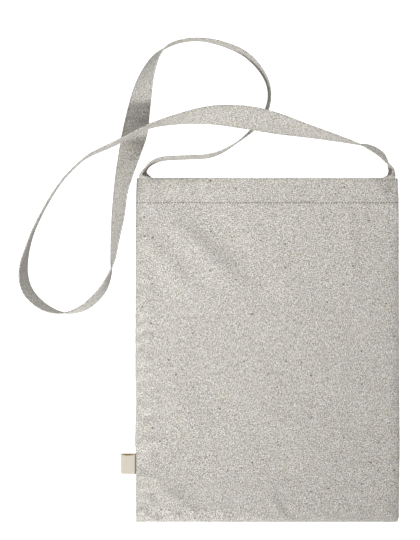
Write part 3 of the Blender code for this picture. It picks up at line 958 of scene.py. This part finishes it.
def label_mesh():
    line = label_line()
    lengths = [0.0]
    for start, end in zip(line, line[1:]):
        lengths.append(lengths[-1] + math.dist(start, end))
    total = lengths[-1]
    middle = -BAG_HEIGHT / 2 + LABEL_UP
    mesh = bmesh.new()
    uv = mesh.loops.layers.uv.new("threads")
    outer, inner = [], []
    for index, (x, z) in enumerate(line):
        before, after = line[max(index - 1, 0)], line[min(index + 1, len(line) - 1)]
        dx, dz = after[0] - before[0], after[1] - before[1]
        size = math.hypot(dx, dz)
        to_face = Vector((dz / size, 0, -dx / size)) * LABEL_THICKNESS / 2
        gone = lengths[index] / total
        dip = LABEL_DIP * smooth_share(gone, 0.55, 0.45) * math.sin(math.pi * min(gone * 2, 1.0))
        rounding = LABEL_FOLD_ROUNDING * max(0.0, 1 - abs(gone - 0.5) / LABEL_ROUNDED_SHARE) ** 2
        outer_row, inner_row = [], []
        for row in range(LABEL_ROWS + 1):
            share = row / LABEL_ROWS
            y = middle + (share - 0.5) * LABEL_HEIGHT - dip * share ** 6 + rounding * (1 - share) ** 12
            outer_row.append(mesh.verts.new(Vector((x, y, z)) + to_face))
            inner_row.append(mesh.verts.new(Vector((x, y, z)) - to_face))
        outer.append(outer_row)
        inner.append(inner_row)

    def close_rim(rim, flip, place):
        if flip:
            rim.reverse()
        smooth_face(mesh, uv, rim, [(place, 0.0)] * 4)

    last = len(line) - 1
    for index in range(last):
        for row in range(LABEL_ROWS):
            for side, rows in enumerate((outer, inner)):
                corners = [(index, row), (index + 1, row), (index + 1, row + 1), (index, row + 1)]
                if side:
                    corners.reverse()
                start = side * OTHER_FACE_START
                smooth_face(mesh, uv, [rows[i][r] for i, r in corners],
                            [(lengths[i], start + LABEL_HEIGHT * r / LABEL_ROWS) for i, r in corners])
        for row in (0, LABEL_ROWS):
            close_rim([outer[index][row], inner[index][row], inner[index + 1][row], outer[index + 1][row]],
                      row > 0, lengths[index])
    for index in (0, last):
        for row in range(LABEL_ROWS):
            close_rim([outer[index][row], outer[index][row + 1], inner[index][row + 1], inner[index][row]],
                      index == 0, 0.0)
    bmesh.ops.recalc_face_normals(mesh, faces=mesh.faces)
    return finished_piece("seam_label", mesh, ribbon_material()), total


label, label_length = label_mesh()
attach(label, "root")
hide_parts("side_label")


# The bag lies on a wide pale table. The camera sees it as plain bright white with no shadow on it, but the
# light that it throws back onto the cloth is that of a real table.
TABLE_PALE = (0.60, 0.60, 0.60, 1)
WHITE = (1.0, 1.0, 1.0, 1)
TABLE_REACH = 30

table_mesh = bpy.data.meshes.new("white_table")
table_corners = [(x * TABLE_REACH, y * TABLE_REACH, 0) for x, y in ((-1, -1), (1, -1), (1, 1), (-1, 1))]
table_mesh.from_pydata(table_corners, [], [(0, 1, 2, 3)])
table = placed("white_table", table_mesh)
white, white_tree, white_shader = new_material("white table")
set_sockets(white_shader, {"Base Color": TABLE_PALE, "Roughness": 1.0, "Specular IOR Level": 0.0,
                           "Emission Color": WHITE})
seen_directly = white_tree.nodes.new("ShaderNodeLightPath").outputs["Is Camera Ray"]
white_tree.links.new(seen_directly, white_shader.inputs["Emission Strength"])
table_mesh.materials.append(white)


# Light and camera: a soft lamp low at the lower left, a weaker one beyond the strap's loops, a white room,
# and a long lens straight overhead.
ROOM_LIGHT = 0.58
Lamp = namedtuple("Lamp", "name place aim power")
LAMPS = (
    Lamp("main lamp", (-1.20, -2.10, 1.50), (-0.22, 0.22, 0.0), 3.58),
    Lamp("top lamp", (0.60, 2.50, 1.45), (-0.05, 0.22, 0.0), 1.2),
)
LAMP_SIZE = 0.45
LAMP_SPREAD = 34
VIEW_MIDDLE = (-0.0720, 0.1006)
VIEW_HEIGHT = 0.6788
CAMERA_DISTANCE = 6.0
SENSOR = 36.0

room = bpy.data.worlds.new("white room")
room.use_nodes = True
set_sockets(room.node_tree.nodes["Background"], {"Color": WHITE, "Strength": ROOM_LIGHT})
bpy.context.scene.world = room

for lamp in LAMPS:
    light = bpy.data.lights.new(lamp.name, "AREA")
    light.shape = "DISK"
    light.size = LAMP_SIZE
    light.energy = lamp.power
    light.spread = math.radians(LAMP_SPREAD)
    holder = placed(lamp.name, light)
    holder.location = lamp.place
    holder.rotation_mode = "QUATERNION"
    holder.rotation_quaternion = (Vector(lamp.aim) - Vector(lamp.place)).to_track_quat("-Z", "Y")

camera_data = bpy.data.cameras.new("camera")
camera_data.sensor_fit = "AUTO"
camera_data.sensor_width = SENSOR
camera_data.lens = SENSOR * CAMERA_DISTANCE / VIEW_HEIGHT
camera_data.clip_end = 100
camera = placed("camera", camera_data)
camera.location = (*VIEW_MIDDLE, CAMERA_DISTANCE)
bpy.context.scene.camera = camera
bpy.context.scene.view_settings.view_transform = "Standard"
bpy.context.scene.view_settings.look = "None"
